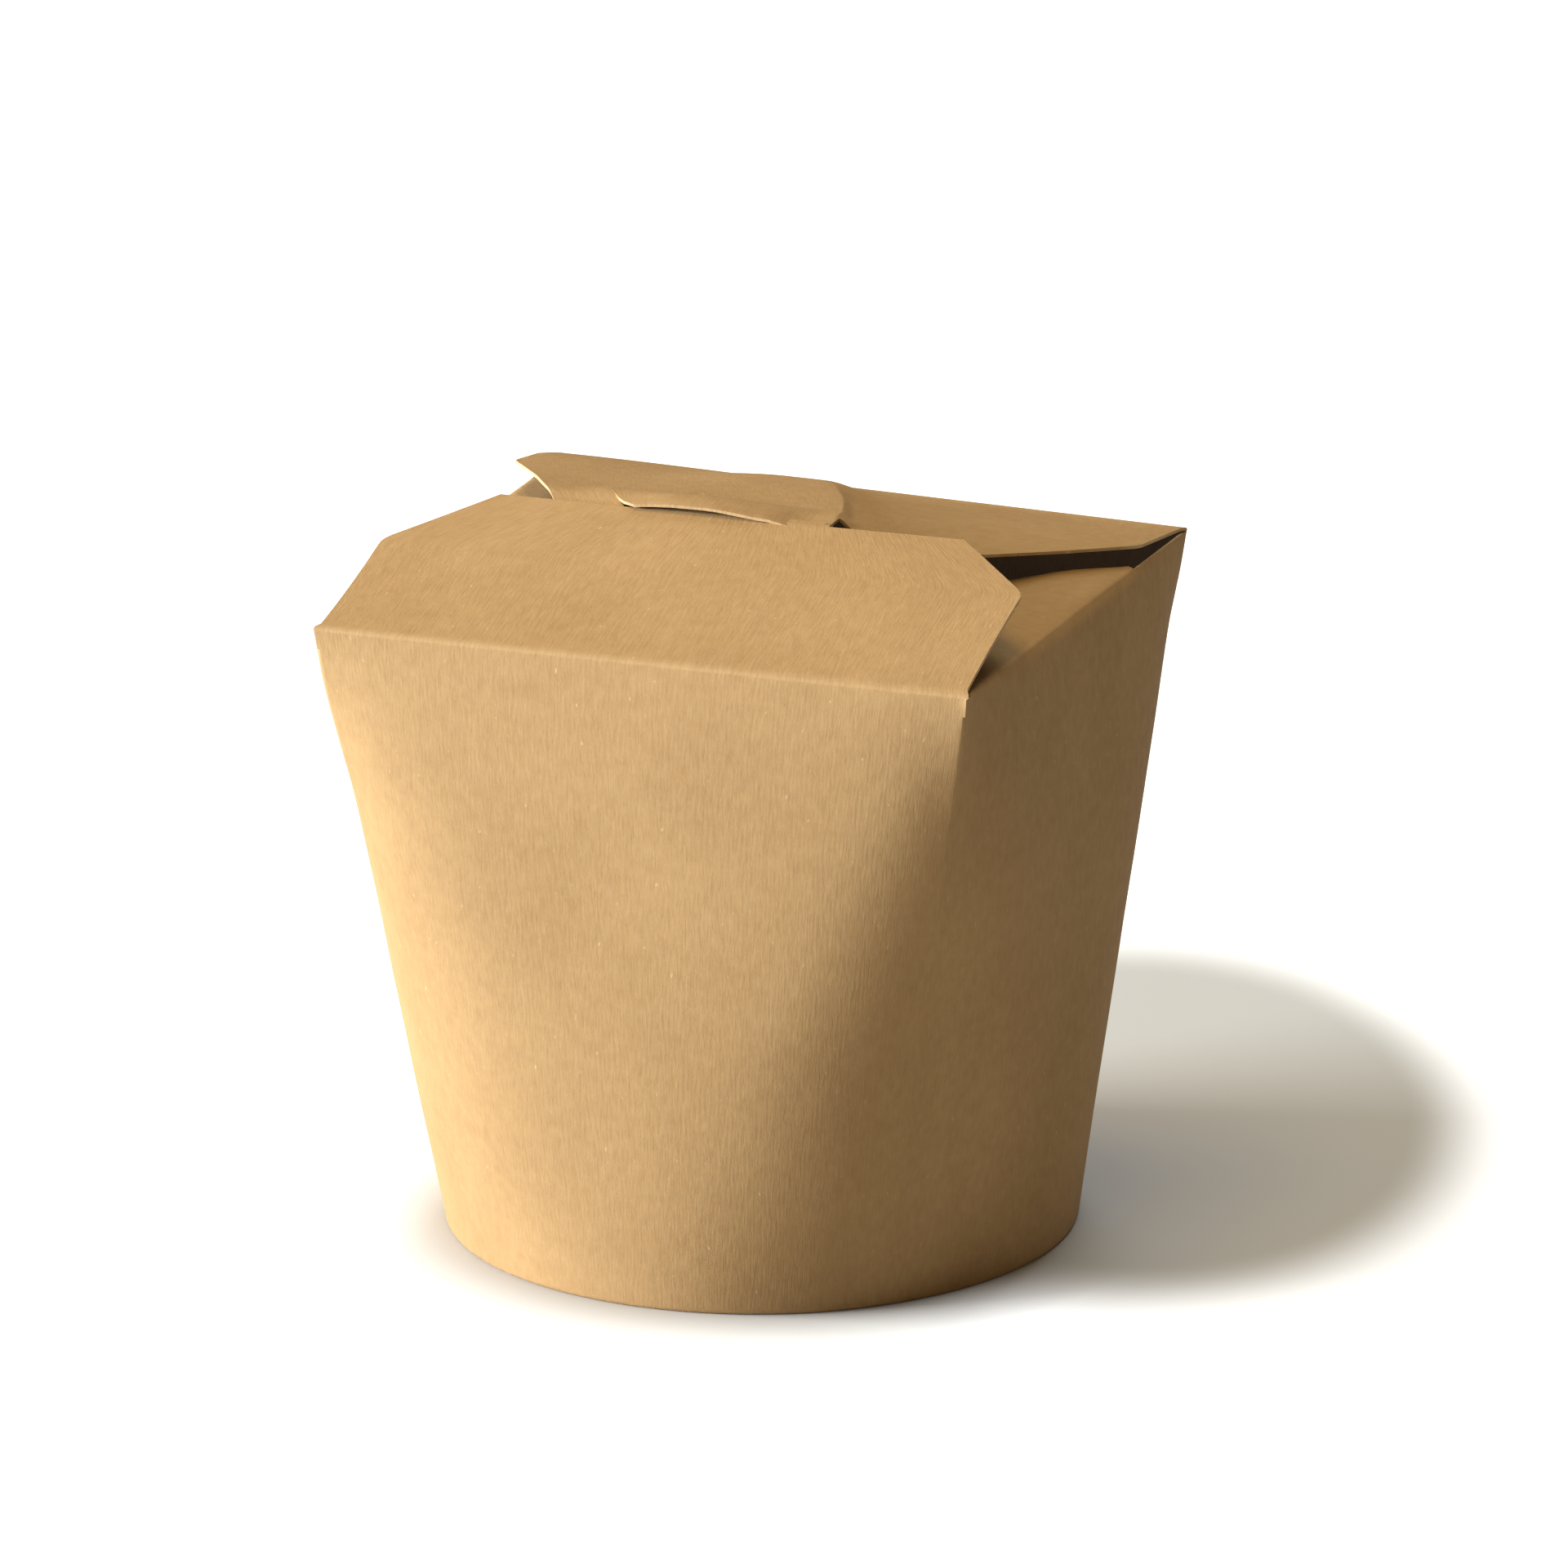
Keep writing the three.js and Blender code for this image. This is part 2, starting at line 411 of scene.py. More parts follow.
class Sheet:
    """A sheet of board grown row by row, which keeps each point's place on the flat blank."""

    WALL_HEIGHT = 50.0 * MM
    EDGE_SHARE = 1 / 8
    EDGE_ANGLE = math.radians(82.0)

    def __init__(self) -> None:
        """Start an empty mesh."""
        self.mesh = bmesh.new()
        # Per-point share of pale colour: partly real rubbing wear, partly a painted highlight along folds and
        # creases.
        self.rub_and_highlight = self.mesh.verts.layers.float.new("rub_and_highlight")
        self.flat: dict[bmesh.types.BMVert, tuple[float, float]] = {}

    def first_row(self, places: Sequence[Vector], flat: Pairs) -> Row:
        """Lay the first chain of edges.

        Args:
            places: Where its points go.
            flat: Where they are on the flat blank.

        Returns:
            The chain's points in order.
        """
        row = [self.mesh.verts.new(place) for place in places]
        for start, end in zip(row, row[1:]):
            self.mesh.edges.new((start, end))
        self.flat.update(zip(row, flat))
        return row

    def next_row(
        self,
        row: Row,
        places: Sequence[Vector],
        flat: Pairs,
        rub_and_highlight: Sequence[float] | float = 0.0,
    ) -> Row:
        """Extrude a chain of edges to new places.

        Args:
            row: The chain to extrude.
            places: Where the new points go.
            flat: Where they are on the flat blank.
            rub_and_highlight: How pale the board is there, for each point or for all: partly real rubbing
                wear and partly a painted highlight along folds and creases.

        Returns:
            The new chain in the same order.
        """
        edges = [self.mesh.edges.get((start, end)) for start, end in zip(row, row[1:])]
        bmesh.ops.extrude_edge_only(self.mesh, edges=edges)
        new = []
        for point in row:
            ends = (edge.other_vert(point) for edge in point.link_edges)
            new.append(next(end for end in ends if end not in self.flat))
        for index, (point, place) in enumerate(zip(new, places)):
            point.co = place
            point[self.rub_and_highlight] = rub_and_highlight if isinstance(rub_and_highlight, float) else rub_and_highlight[index]
        self.flat.update(zip(new, flat))
        return new

    def finish(self, name: str, materials: Materials, board: float) -> Object:
        """Write the flat map, turn the faces outwards and give the sheet its thickness.

        Args:
            name: The piece's name.
            materials: Outside, inside and cut edge.
            board: The board's thickness, laid on inwards.

        Returns:
            The piece.
        """
        faces = self.mesh.faces
        bmesh.ops.recalc_face_normals(self.mesh, faces=faces)
        self.mesh.normal_update()
        wall = min(faces, key=lambda face: abs(face.calc_center_median().z - self.WALL_HEIGHT))
        middle = wall.calc_center_median()
        if wall.normal.dot(Vector((middle.x, middle.y, 0.0))) < 0.0:
            bmesh.ops.reverse_faces(self.mesh, faces=faces)
        uv = self.mesh.loops.layers.uv.new("flat")
        for face in faces:
            face.smooth = True
            for loop in face.loops:
                loop[uv].uv = self.flat[loop.vert]
        piece = add_piece(self.mesh, name, materials)
        thick = piece.modifiers.new("board", "SOLIDIFY")
        thick.thickness = board
        thick.offset = -1.0
        thick.use_even_offset = False
        thick.use_quality_normals = True
        thick.material_offset = Face.INSIDE.value
        thick.material_offset_rim = Face.CUT.value
        edge = piece.modifiers.new("cut_edge", "BEVEL")
        edge.width = board * self.EDGE_SHARE
        edge.segments = 1
        edge.limit_method = "ANGLE"
        edge.angle_limit = self.EDGE_ANGLE
        edge.harden_normals = True
        return piece


@dataclass(frozen=True)
class Pail:
    """The wall, from the round foot to the four fold lines of the lid."""

    half_width: float = 49.0 * MM
    half_depth: float = 45.25 * MM
    foot_radius: float = 46.0 * MM
    fold_height: float = 95.0 * MM
    side_bend: float = 6.0 * MM
    crease_power: float = 5.0
    corner_lift: float = 2.1 * MM
    board: float = 0.45 * MM
    fold_radius: float = 0.55 * MM
    ridge: float = 0.32 * MM
    ridge_width: float = 2.4 * MM
    ridge_top: float = 7.0 * MM
    ridge_fade: Span = mm(34.0, 8.0)
    # Pale mark on the corner creases: partly real rubbing wear, partly a painted highlight.
    rub_highlight: float = 0.8
    rub_highlight_width: float = 0.7 * MM
    rub_highlight_fade: Span = mm(24.0, 2.0)
    roll_rub: float = 0.15
    seam_depth: float = 0.5 * MM
    seam_reach: float = 5.0 * MM
    lap_columns: int = 5
    lap_foot: float = 1.0 * MM
    soft_fold: float = 0.7 * MM
    soft_fold_height: float = 3.0 * MM
    waviness: float = 0.16 * MM
    wave_size: float = 38.0 * MM
    fine_wave: float = 0.4
    wave_top: float = 12.0 * MM
    wave_foot: float = 14.0 * MM
    rim_layers: int = 3
    recess: float = 6.0 * MM
    walk_steps: int = 80
    roll_steps: int = 8
    columns: int = 32
    column_spread: float = 1.3
    rows: int = 54
    row_spread: float = 0.9

    def octant(self, column: int) -> tuple[Vector, Vector, float]:
        """Find the part of the outline that a column is in.

        Args:
            column: Its number, from the back left corner past the left, front and right sides.

        Returns:
            The side's outward direction, the direction from its middle to the corner, and the share
            of the way there.
        """
        sides = (Vector((-1, 0, 0)), Vector((0, -1, 0)), Vector((1, 0, 0)), Vector((0, 1, 0)))
        index = min(column // self.columns, 7)
        share = column / self.columns - index
        side = sides[index // 2]
        onward = Vector((-side.y, side.x, 0))
        towards = onward if index % 2 else -onward
        share = share if index % 2 else 1.0 - share
        return side, towards, 1.0 - (1.0 - share) ** self.column_spread

    def fold_lift(self, x: float, y: float) -> float:
        """Work out how far the fold line is sprung up at a point of the top outline.

        Args:
            x: Across the box.
            y: From front to back.

        Returns:
            The rise, which is greatest at the back left corner.
        """
        left = clamp((self.half_width - x) / (2 * self.half_width))
        back = clamp((y + self.half_depth) / (2 * self.half_depth))
        return self.corner_lift * min(left, back)

    @lru_cache(maxsize=None)
    def quarter(self, level: float) -> tuple[Walk, Walk]:
        """Walk from the middle of a side to its corner, along the width and along the depth.

        The board turns more and more towards the corner, which is round low down and a crease near
        the top.

        Args:
            level: Share of the way from the foot to the folds.

        Returns:
            For each: places as length along the side, distance in from its middle and turn; and its
            whole length.
        """
        radius = (1.0 - level) * self.foot_radius
        end_turn = math.pi / 4 * (1.0 - level**self.crease_power)
        halves = (self.half_width, self.half_depth)
        return tuple(self.half_side(level * half, radius, end_turn) for half in halves)

    def half_side(self, flat: float, radius: float, end_turn: float) -> Walk:
        """Walk one half of a side, with the start of its bend softened.

        Args:
            flat: Length that would be flat if the bend began at once.
            radius: Radius of the corner beyond it.
            end_turn: How far the board has turned at the corner.

        Returns:
            The places and the whole length.
        """
        length = flat + radius * math.pi / 4
        stride = length / self.walk_steps

        def turned(distance: float) -> float:
            """Return how far the board has turned at a distance, next to other distances."""
            return self.soft(distance - flat) - self.soft(-distance - flat)

        places = [(0.0, 0.0, 0.0)]
        for step in range(self.walk_steps):
            along, inward, _ = places[-1]
            turn = end_turn * turned(stride * (step + 0.5)) / turned(length)
            reached = end_turn * turned(stride * (step + 1)) / turned(length)
            places.append((along + stride * math.cos(turn), inward + stride * math.sin(turn), reached))
        return places, length

    def soft(self, distance: float) -> float:
        """Return distance, or nought where it is negative, rounded over the side's bend."""
        return self.side_bend * math.log1p(math.exp(distance / self.side_bend))

    def outline(self, column: int, level: float) -> tuple[Vector, Vector, float]:
        """Place a column on the wall's level outline.

        Args:
            column: The column's number.
            level: Share of the way from the foot to the folds.

        Returns:
            The point, the outward direction there, and the distance from the corner's crease.
        """
        side, towards, share = self.octant(column)
        across, outwards = (0, 1) if abs(towards.x) > 0.5 else (1, 0)
        walks = self.quarter(level)
        walk, length = walks[across]
        out = walks[outwards][0][-1][0] + walk[-1][1]
        spot = share * (len(walk) - 1)
        index = min(int(spot), len(walk) - 2)
        ends = zip(walk[index], walk[index + 1])
        along, inward, turn = (mix(low, high, spot - index) for low, high in ends)
        normal = side * math.cos(turn) + towards * math.sin(turn)
        return side * (out - inward) + towards * along, normal, (1.0 - share) * length

    def point(self, column: int, level: float) -> Vector:
        """Place a point of the wall's outer face, with its creases, seam and slight waves.

        Args:
            column: The column's number.
            level: Share of the way from the foot to the folds.

        Returns:
            The point.
        """
        place, normal, from_corner = self.outline(column, level)
        top, _, _ = self.outline(column, 1.0)
        height = level * (self.fold_height + self.fold_lift(top.x, top.y))
        below = self.fold_height * (1.0 - level)
        crease = ease(0.0, self.ridge_top, below) * ease(*self.ridge_fade, below)
        offset = self.ridge * crease * math.exp(-from_corner / self.ridge_width)
        wave = ripple(place.x, place.y, height, self.wave_size)
        wave += self.fine_wave * ripple(place.y, height, place.x, self.wave_size / 3)
        wave *= ease(0.0, self.wave_top, below) * ease(0.0, self.wave_foot, height)
        offset += self.waviness * (wave - 1.0)
        side, _, _ = self.octant(column)
        if abs(side.x) > 0.5:
            bend = ease(self.soft_fold_height, 0.0, below) ** 2
            middle = clamp(1.0 - (place.y / self.half_depth) ** 2)
            offset -= self.soft_fold * bend * middle
        if column < self.columns:
            offset -= self.seam_depth * math.exp(-from_corner / self.seam_reach)
        return Vector((place.x, place.y, height)) + normal * offset

    def flat_place(self, column: int, height: float) -> tuple[float, float]:
        """Return a column's place on the flat blank at a height or a length past the fold."""
        mean = (self.half_width + self.half_depth + self.foot_radius) / 3
        return mean * column / self.columns, height

    def levels(self) -> list[float]:
        """Space the wall's rows, closer together at both ends.

        Returns:
            Their levels, from the foot up.
        """
        first = self.rim_layers * self.board / 2 / self.fold_height
        last = 1.0 - self.fold_radius / self.fold_height
        turns = (math.pi * row / self.rows for row in range(self.rows + 1))
        shares = [(0.5 - 0.5 * math.cos(turn)) ** self.row_spread for turn in turns]
        return [mix(first, last, share) for share in shares]

    def build(self, sheet: Sheet) -> Row:
        """Grow the wall, its glued lap and the roll round its foot.

        Args:
            sheet: The blank.

        Returns:
            The wall's top row, from the back left corner round to it again.
        """
        count = 8 * self.columns + 1
        levels = self.levels()
        places = [self.point(column, levels[0]) for column in range(count)]
        row = sheet.first_row(places, [self.flat_place(column, 0.0) for column in range(count)])
        foot, lap = row, [row[0]]
        for level in levels[1:]:
            places = [self.point(column, level) for column in range(count)]
            flat = [self.flat_place(column, level * self.fold_height) for column in range(count)]
            rub_and_highlight = [self.corner_rub_highlight(column, level) for column in range(count)]
            row = sheet.next_row(row, places, flat, rub_and_highlight)
            lap.append(row[0])
        self.lap(sheet, lap, levels)
        self.roll(sheet, foot)
        return row

    def corner_rub_highlight(self, column: int, level: float) -> float:
        """Work out how pale the board is at a point of the wall: partly real rubbing wear, partly a painted
        highlight on the corner's crease.

        Args:
            column: The column's number.
            level: Share of the way from the foot to the folds.

        Returns:
            A share, which is greatest at the top of the corner's crease.
        """
        _, _, from_corner = self.outline(column, level)
        below = self.fold_height * (1.0 - level)
        return self.rub_highlight * math.exp(-from_corner / self.rub_highlight_width) * ease(*self.rub_highlight_fade, below)

    def lap(self, sheet: Sheet, chain: Row, levels: Sequence[float]) -> None:
        """Carry the blank's first edge on under its last one, as the glued lap.

        Args:
            sheet: The blank.
            chain: The first column's points from the foot up.
            levels: Their levels.
        """
        last = 8 * self.columns
        for step in range(1, self.lap_columns + 1):
            places = []
            for level in levels:
                place, normal, _ = self.outline(last - step, level)
                height = max(self.point(last - step, level).z, self.lap_foot)
                under = normal * (self.seam_depth + self.waviness)
                places.append(Vector((place.x, place.y, height)) - under)
            flat = [(-step * MM, level * self.fold_height) for level in levels]
            chain = sheet.next_row(chain, places, flat)

    def roll(self, sheet: Sheet, row: Row) -> None:
        """Turn the wall's foot in and up, as a rim of three layers.

        Args:
            sheet: The blank.
            row: The wall's lowest row.
        """
        rim = self.rim_layers * self.board
        turn = rim / 2
        angles = [math.pi * share for share in steps(self.roll_steps)]
        path = [(turn - turn * math.cos(angle), -turn * math.sin(angle)) for angle in angles]
        path += [(rim, self.recess * share - turn) for share in steps(2)]
        ring = [point.co.copy() for point in row]
        for inward, rise in path:
            places = []
            for place in ring:
                out = Vector((place.x, place.y, 0.0)).normalized()
                places.append(Vector((place.x, place.y, turn + rise)) - out * inward)
            flat = [(sheet.flat[point][0], -inward - turn + rise) for point in row]
            row = sheet.next_row(row, places, flat, self.roll_rub)


def fold_arc(radius: float, slope: float) -> list[tuple[float, float]]:
    """Round a fold from straight up to a flap's slope.

    Args:
        radius: How far from the fold line the bend starts and ends.
        slope: The flap's slope in radians.

    Returns:
        Pairs of run inwards and height above the fold line.
    """
    arc = []
    for share in steps(4):
        run = share**2 * radius * math.cos(slope)
        height = -((1 - share) ** 2) * radius + share**2 * radius * math.sin(slope)
        arc.append((run, height))
    return arc


@dataclass
class FrontFlap:
    """The flap that lies on top, with its two chamfers and the tongue under the lip."""

    pail: Pail
    inset: float = 0.6 * MM
    inset_run: float = 1.5 * MM
    reach: float = 35.3 * MM
    side: float = 23.3 * MM
    far_half: float = 35.2 * MM
    slope: float = math.radians(18.0)
    warp: float = 0.8 * MM
    wave: float = 0.12 * MM
    wave_size: float = 21.0 * MM
    wave_start: float = 6.0 * MM
    corner_round: float = 1.2 * MM
    fold_rough: float = 0.10 * MM
    fold_rough_size: float = 4.0 * MM
    fold_rough_run: float = 3.0 * MM
    # Pale band along the fold: partly real rubbing wear, partly a painted highlight.
    fold_rub_highlight: float = 0.7
    fold_rub_highlight_run: float = 0.5 * MM
    fold_rub_highlight_rows: int = 3
    tongue_left: float = -13.5 * MM
    tongue_right: float = 15.4 * MM
    tongue_reach: float = 36.8 * MM
    tongue_slope: float = 0.08
    tongue_round: float = 1.0 * MM
    tongue_power: int = 8
    tongue_draw: float = 0.6
    tongue_rows: int = 5
    rows: int = 44

    def half(self, run: float) -> float:
        """Work out half the flap's width, with its chamfers.

        Args:
            run: Level distance from the fold.

        Returns:
            The half width there.
        """
        full = self.pail.half_width - self.inset * ease(0.0, self.inset_run, run)
        taper = (run - self.side) / (self.reach - self.side)
        chamfer = mix(self.pail.half_width - self.inset, self.far_half, taper)
        return soft_least(full, chamfer, self.corner_round)

    def height(self, x: float, run: float) -> float:
        """Return the flap's height above the fold line.

        Args:
            x: Across the box.
            run: Level distance from the fold.

        Returns:
            The height of its top face.
        """
        along = clamp(run / self.reach)
        bow = 1.0 - (2.0 * along - 1.0) ** 2
        near = min(run, self.reach)
        rise = near * math.tan(self.slope) + self.warp * bow * x / self.pail.half_width
        wave = self.wave * ripple(x, run, 0.3, self.wave_size) * ease(0.0, self.wave_start, run)
        return rise + wave + max(0.0, run - self.reach) * self.tongue_slope

    def build(self, sheet: Sheet, row: Row) -> None:
        """Grow the flap from the front wall's top row.

        Args:
            sheet: The blank.
            row: That row, from left to right.
        """
        pail = self.pail
        shares = [(point.co.x + pail.half_width) / (2 * pail.half_width) for point in row]
        span = shares[-1] - shares[0]
        shares = [(share - shares[0]) / span for share in shares]
        flat = shifted([sheet.flat[point] for point in row], pail.fold_radius)
        arc = fold_arc(pail.fold_radius, self.slope)
        for run, rise in arc:
            half = self.half(run)
            places = [self.place(mix(-half, half, share), run, rise) for share in shares]
            # The fold's bend is made fully pale: wear and painted highlight.
            row = sheet.next_row(row, places, shifted(flat, run), 1.0)
        first = arc[-1][0]
        for number, along in enumerate(steps(self.rows)):
            run = mix(first, self.reach, along)
            half = self.half(run)
            across = [mix(-half, half, share) for share in shares]
            places = [self.place(x, run, self.height(x, run)) for x in across]
            # Pale band fading away from the fold: wear and painted highlight.
            rub_highlight = self.fold_rub_highlight * math.exp((first - run) / self.fold_rub_highlight_run)
            rub_highlight = rub_highlight if number < self.fold_rub_highlight_rows else 0.0
            row = sheet.next_row(row, places, shifted(flat, run), rub_highlight)
        self.tongue(sheet, row)

    def place(self, x: float, run: float, rise: float) -> Vector:
        """Place a point of the flap in space, with a slightly uneven fold.

        Args:
            x: Across the box.
            run: Level distance from the fold.
            rise: Height above the fold line.

        Returns:
            The point.
        """
        uneven = self.fold_rough * ripple(x, 0.0, 1.0, self.fold_rough_size)
        uneven *= ease(self.fold_rough_run, 0.0, run)
        y = -self.pail.half_depth + self.pail.waviness + run
        return Vector((x, y, self.pail.fold_height + rise + uneven))

    def tongue(self, sheet: Sheet, row: Row) -> None:
        """Carry the middle of the far edge on under the back flap's lip.

        Args:
            sheet: The blank.
            row: The flap's far row.
        """
        row = [point for point in row if self.tongue_left <= point.co.x <= self.tongue_right]
        start = [point.co.x for point in row]
        base = [sheet.flat[point] for point in row]
        for share in steps(self.tongue_rows):
            run = mix(self.reach, self.tongue_reach, share)
            places = []
            for x in start:
                edge = clamp(abs(2 * (x - start[0]) / (start[-1] - start[0]) - 1.0))
                pull = self.tongue_round * share**3 * edge**self.tongue_power
                near = run - self.tongue_draw * pull
                places.append(self.place(x - math.copysign(pull, x), near, self.height(x, run)))
            row = sheet.next_row(row, places, shifted(base, run - self.reach))


@dataclass
class BackFlap:
    """The flap that comes over from the back, with its lip on the front flap.

    Its middle is a raised strip with a crown. The lines are pairs of millimetres: the run from the
    back fold, and the place across or the height there. Heights are above the level folds.
    """

    pail: Pail
    front: FrontFlap
    inset: float = 0.6 * MM
    inset_run: float = 1.5 * MM
    side: float = 18.7 * MM
    reach: float = 55.6 * MM
    tip_right: float = 20.0 * MM
    cut_right: float = 14.8 * MM
    cut_start: float = 50.2 * MM
    corner_round: float = 0.7 * MM
    fold_slope: float = 0.25
    spread: float = 0.9
    spread_run: Span = mm(6.0, 34.0)
    crown_rise: float = 0.30
    bulge: float = 1.1 * MM
    bulge_rise: Span = mm(4.0, 15.0)
    bulge_fall: Span = mm(52.0, 18.0)
    bulge_side: Span = mm(-26.0, -8.0)
    drop: float = 0.9 * MM
    drop_run: Span = mm(12.0, 46.0)
    fall_width: Span = mm(9.0, 1.6)
    fall_run: Span = mm(8.0, 34.0)
    left_power: float = 2.2
    right_power: float = 1.05
    gap: float = 0.75 * MM
    gap_rise: Span = mm(-19.0, -8.0)
    gap_fall: Span = mm(6.9, -4.0)
    clearance: float = 0.04 * MM
    sunk: float = 0.8 * MM
    sunk_side: Span = mm(6.4, 9.4)
    lip_run: Span = mm(44.0, 53.0)
    lip_entry: float = 6.0 * MM
    lip_fade: float = 2.0 * MM
    lip_rough: float = 0.07 * MM
    lip_rough_size: float = 1.1 * MM
    lip_rows: int = 9
    draw_reach: float = 9.0 * MM
    draw_power: float = 1.5
    tuck_depth: float = 0.52 * MM
    tuck_reach: float = 57.5 * MM
    tuck_run: Span = mm(50.8, 55.2)
    tuck_overlap: float = 0.3 * MM
    tuck_rows: int = 10
    middle: float = 30.0 * MM
    near_rows: int = 22
    far_rows: int = 26
    left_cut: Pairs = (
        (0.0, 59.1), (49.0, 31.0), (52.6, 28.4), (55.5, 26.2), (58.0, 25.0),
    )
    lip_left: Pairs = (
        (50.2, -19.8), (52.8, -18.0), (54.6, -16.3), (55.6, -14.4),
    )
    left_edge: Pairs = (
        (0.0, 2.1), (5.0, 3.45), (9.8, 4.6), (18.4, 5.8), (29.0, 8.1),
        (41.6, 10.8), (49.0, 12.0), (52.6, 12.1), (54.9, 11.8), (56.5, 11.2),
    )
    right_edge: Pairs = (
        (0.0, 0.0), (18.4, 2.24), (28.5, 3.4), (39.5, 4.9), (50.0, 8.2), (56.0, 10.0),
    )
    ridge_line: Pairs = (
        (0.0, -8.7), (15.0, -1.0), (33.5, 8.7), (38.0, 10.5), (42.0, 12.0), (46.0, 13.3), (56.0, 14.8),
    )

    def ends(self, run: float) -> tuple[float, float]:
        """Work out the flap's limits, with its cuts.

        Args:
            run: Level distance from the back fold.

        Returns:
            The left and the right limit there.
        """
        full = self.pail.half_width - self.inset * ease(0.0, self.inset_run, run)
        taper = (run - self.side) / (self.reach - self.side)
        chamfer = mix(self.pail.half_width - self.inset, self.tip_right, taper)
        left = soft_least(full, polyline(self.left_cut, run), self.corner_round)
        return -left, soft_least(full, chamfer, self.corner_round)

    def across(self, share: float, fixed: float, run: float) -> float:
        """Place a column across the flap so that one column follows the raised strip's edge.

        Args:
            share: The column's place along the fold, from left to right.
            fixed: The share of the column that follows the strip's edge.
            run: Distance from the back fold.

        Returns:
            The column's x.
        """
        left, right = self.ends(run)
        ridge = polyline(self.ridge_line, run)
        if share <= fixed:
            return mix(left, ridge, share / fixed)
        power = 1.0 + self.spread * ease(*self.spread_run, run)
        return mix(ridge, right, ((share - fixed) / (1.0 - fixed)) ** power)

    def lift(self, x: float) -> float:
        """Return how far the sprung corner lifts the back fold at a place across the box."""
        return self.pail.corner_lift * (self.pail.half_width - x) / (2 * self.pail.half_width)

    def height(self, x: float, run: float) -> float:
        """Return the height of the flap's top face.

        Args:
            x: Across the box.
            run: Level distance from the back fold.

        Returns:
            The height.
        """
        left, right = self.ends(run)
        ridge = polyline(self.ridge_line, run)
        settled = self.pail.corner_lift / 2
        lip = self.front.height(0.0, self.front.reach) + self.pail.board
        bend = (self.crown_rise * self.reach + settled - lip) / self.reach**2
        crown = mix(self.lift(x), settled, run / self.reach) + self.crown_rise * run - bend * run**2
        mound = self.bulge * ease(*self.bulge_rise, run) * ease(*self.bulge_fall, run)
        strip = crown + mound * ease(*self.bulge_side, x)
        if x <= ridge:
            share = clamp((ridge - x) / (ridge - left))
            return mix(strip, polyline(self.left_edge, run), share**self.left_power)
        share = (x - ridge) / (right - ridge)
        lower = crown - self.drop * ease(*self.drop_run, run)
        lower = mix(lower, polyline(self.right_edge, run), share**self.right_power)
        width = mix(*self.fall_width, ease(*self.fall_run, run))
        return mix(strip, lower, ease(0.0, width, x - ridge))

    def lip_height(self, x: float, run: float) -> float:
        """Return the height of the lip, which lies over the front flap with a gap in its middle.

        Args:
            x: Across the box.
            run: Distance from the back fold.

        Returns:
            The height of its top face. Right of the gap it is sunk into the front flap.
        """
        rise = self.gap * ease(*self.gap_rise, x) * ease(*self.gap_fall, x)
        above = self.pail.board + rise + self.clearance - self.sunk * ease(*self.sunk_side, x)
        return self.front.height(x, 2 * self.pail.half_depth - run) + above

    def place(self, x: float, run: float) -> Vector:
        """Place a point of the flap or its lip in space.

        Args:
            x: Across the box.
            run: Level distance from the back fold.

        Returns:
            The point.
        """
        start = self.lip_left[0][1] * MM
        share = ease(*self.lip_run, run) * ease(self.cut_right + self.lip_fade, self.cut_right, x)
        share *= ease(start - self.lip_entry, start, x)
        height = mix(self.height(x, run), self.lip_height(x, run), share)
        y = self.pail.half_depth - self.pail.waviness - run
        return Vector((x, y, self.pail.fold_height + height))

    def build(self, sheet: Sheet, row: Row) -> None:
        """Grow the flap from the back wall's top row.

        Args:
            sheet: The blank.
            row: That row, from left to right.
        """
        pail = self.pail
        low, high = row[0].co.x, row[-1].co.x
        shares = [(point.co.x - low) / (high - low) for point in row]
        ridge = polyline(self.ridge_line, 0.0)
        fixed = min(shares, key=lambda share: abs(mix(low, high, share) - ridge))
        flat = shifted([sheet.flat[point] for point in row], pail.fold_radius)
        arc = fold_arc(pail.fold_radius, math.atan(self.fold_slope))
        for run, rise in arc:
            places = [self.place(self.across(share, fixed, run), run) for share in shares]
            for place in places:
                place.z = pail.fold_height + self.lift(place.x) + rise
            # The fold's bend is made fully pale: wear and painted highlight.
            row = sheet.next_row(row, places, shifted(flat, run), 1.0)
        runs = [mix(arc[-1][0], self.middle, share) for share in steps(self.near_rows)]
        runs += [mix(self.middle, self.cut_start, share) for share in steps(self.far_rows)]
        for run in runs:
            places = [self.place(self.across(share, fixed, run), run) for share in shares]
            row = sheet.next_row(row, places, shifted(flat, run))
        self.lip(sheet, row, shares, fixed)

    def drawn(self, moved: float, distance: float) -> float:
        """Return how far a point follows a border that is moved, at a distance from it."""
        return moved * clamp(1.0 - distance / self.draw_reach) ** self.draw_power

    def lip(self, sheet: Sheet, row: Row, shares: Sequence[float], fixed: float) -> None:
        """Carry the flap's middle on as the lip, whose cut edge lies over the front flap.

        Args:
            sheet: The blank.
            row: The flap's row where the right part ends.
            shares: Each column's place along the fold.
            fixed: The column that follows the raised strip's edge.
        """
        start = self.lip_left[0][1] * MM
        border = max(index for index, point in enumerate(row) if point.co.x <= start)
        self.tuck(sheet, row[: border + 1], shares[: border + 1], fixed)
        row = [point for point in row[border:] if point.co.x <= self.cut_right]
        base = [sheet.flat[point] for point in row]
        widths = [point.co.x for point in row]
        for along in steps(self.lip_rows):
            run = mix(self.cut_start, self.reach, along)
            moved = polyline(self.lip_left, run) - widths[0]
            places = []
            for width in widths:
                x = width + self.drawn(moved, width - widths[0])
                rough = self.lip_rough * ripple(x, 0.0, 2.0, self.lip_rough_size)
                places.append(self.place(x, run - rough * along**2))
            row = sheet.next_row(row, places, shifted(base, run - self.cut_start))

